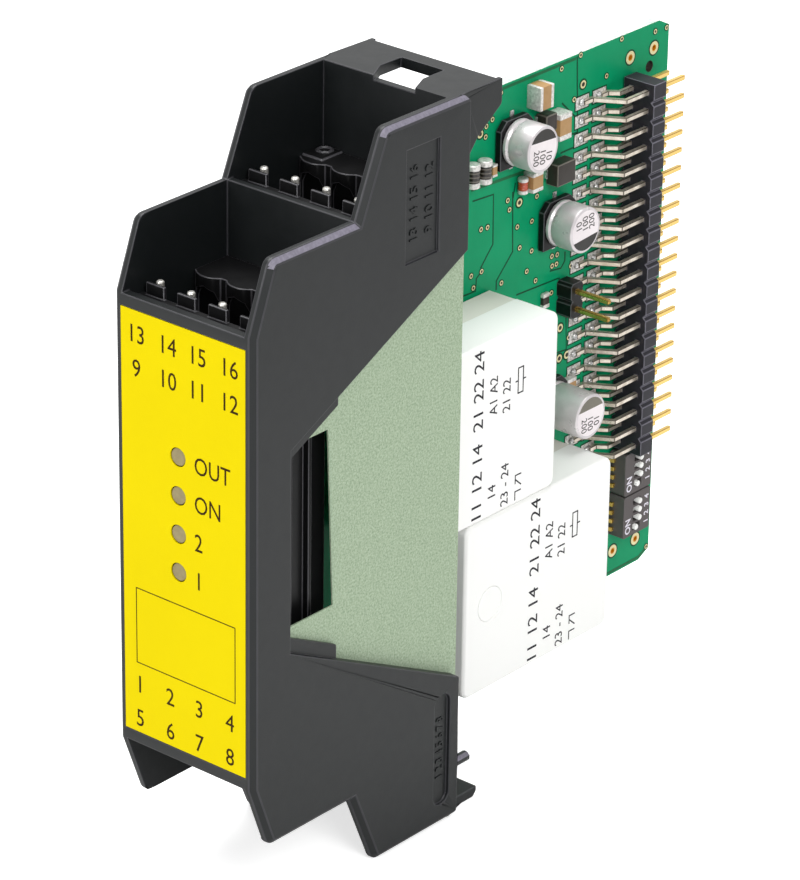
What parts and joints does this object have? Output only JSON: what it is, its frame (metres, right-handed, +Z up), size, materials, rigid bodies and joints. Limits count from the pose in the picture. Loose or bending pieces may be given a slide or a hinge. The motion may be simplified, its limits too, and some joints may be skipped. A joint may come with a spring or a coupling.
{
  "type": "safety relay module",
  "caption": "Front part of a narrow rail-mounted safety relay: black housing with plug-in terminal bays, yellow label and an upright circuit board with relays and a bus pin header.",
  "frame": {"origin": "middle of the front label face", "axes": "+X to the right seen from the front, +Y back into the module, +Z up"},
  "size_m": [0.0226, 0.0993, 0.099],
  "materials": {
    "housing_black": "fine matt moulding",
    "label_yellow": "satin printed film",
    "lamp_grey": "cloudy lens",
    "sheet_green": "mottled pressed insulating board",
    "board_green": "solder mask",
    "tinned_metal": "tinned",
    "gold_pins": "gold plated",
    "relay_white": "satin",
    "moulded_black": "matt",
    "can_aluminium": "drawn can",
    "ceramic": "fired ceramic with tinned ends",
    "switch_body": "matt",
    "lever_white": "satin"
  },
  "bodies": {
    "module": {"bus_header_body": "moulded_black", "bus_pins_far": "gold_pins", "bus_pins_near": "gold_pins", "capacitor_base_lower": "moulded_black", "capacitor_base_middle": "moulded_black", "capacitor_base_upper": "moulded_black", "capacitor_leads": "tinned_metal", "capacitor_lower": "can_aluminium", "capacitor_middle": "can_aluminium", "capacitor_upper": "can_aluminium", "ceramic_capacitors": "ceramic", "chip_resistors": "moulded_black", "contacts_front_lower": "tinned_metal", "contacts_front_upper": "tinned_metal", "contacts_rear_lower": "tinned_metal", "contacts_rear_upper": "tinned_metal", "front_housing": "housing_black", "front_label": "label_yellow", "header_front_lower": "housing_black", "header_front_upper": "housing_black", "header_rear_lower": "housing_black", "header_rear_upper": "housing_black", "insulating_sheet": "sheet_green", "jumper_body": "moulded_black", "jumper_pins": "gold_pins", "lamp_1": "lamp_grey", "lamp_2": "lamp_grey", "lamp_3": "lamp_grey", "lamp_4": "lamp_grey", "lamp_carrier": "housing_black", "lamp_legs": "tinned_metal", "main_board": "board_green", "moulded_chips": "moulded_black", "relay_base_lower": "relay_white", "relay_base_upper": "relay_white", "relay_cover_lower": "relay_white", "relay_cover_upper": "relay_white", "relay_pins_lower": "tinned_metal", "relay_pins_upper": "tinned_metal", "round_diodes": "moulded_black", "switch_leads": "tinned_metal", "switch_lower": "switch_body", "switch_upper": "switch_body"},
    "switch_lower_lever_1": {"lever_lower_1": "lever_white"},
    "switch_lower_lever_2": {"lever_lower_2": "lever_white"},
    "switch_lower_lever_3": {"lever_lower_3": "lever_white"},
    "switch_lower_lever_4": {"lever_lower_4": "lever_white"},
    "switch_upper_lever_1": {"lever_upper_1": "lever_white"},
    "switch_upper_lever_2": {"lever_upper_2": "lever_white"},
    "switch_upper_lever_3": {"lever_upper_3": "lever_white"},
    "switch_upper_lever_4": {"lever_upper_4": "lever_white"}
  },
  "joints": [
    {"name": "code_lower_1", "type": "slide", "parent": "module", "child": "switch_lower_lever_1", "axis": [0, -1, 0], "range_m": [-0.0007, 0]},
    {"name": "code_lower_2", "type": "slide", "parent": "module", "child": "switch_lower_lever_2", "axis": [0, -1, 0], "range_m": [0, 0.0007]},
    {"name": "code_lower_3", "type": "slide", "parent": "module", "child": "switch_lower_lever_3", "axis": [0, -1, 0], "range_m": [0, 0.0007]},
    {"name": "code_lower_4", "type": "slide", "parent": "module", "child": "switch_lower_lever_4", "axis": [0, -1, 0], "range_m": [0, 0.0007]},
    {"name": "code_upper_1", "type": "slide", "parent": "module", "child": "switch_upper_lever_1", "axis": [0, -1, 0], "range_m": [-0.0007, 0]},
    {"name": "code_upper_2", "type": "slide", "parent": "module", "child": "switch_upper_lever_2", "axis": [0, -1, 0], "range_m": [0, 0.0007]},
    {"name": "code_upper_3", "type": "slide", "parent": "module", "child": "switch_upper_lever_3", "axis": [0, -1, 0], "range_m": [0, 0.0007]},
    {"name": "code_upper_4", "type": "slide", "parent": "module", "child": "switch_upper_lever_4", "axis": [0, -1, 0], "range_m": [0, 0.0007]}
  ]
}
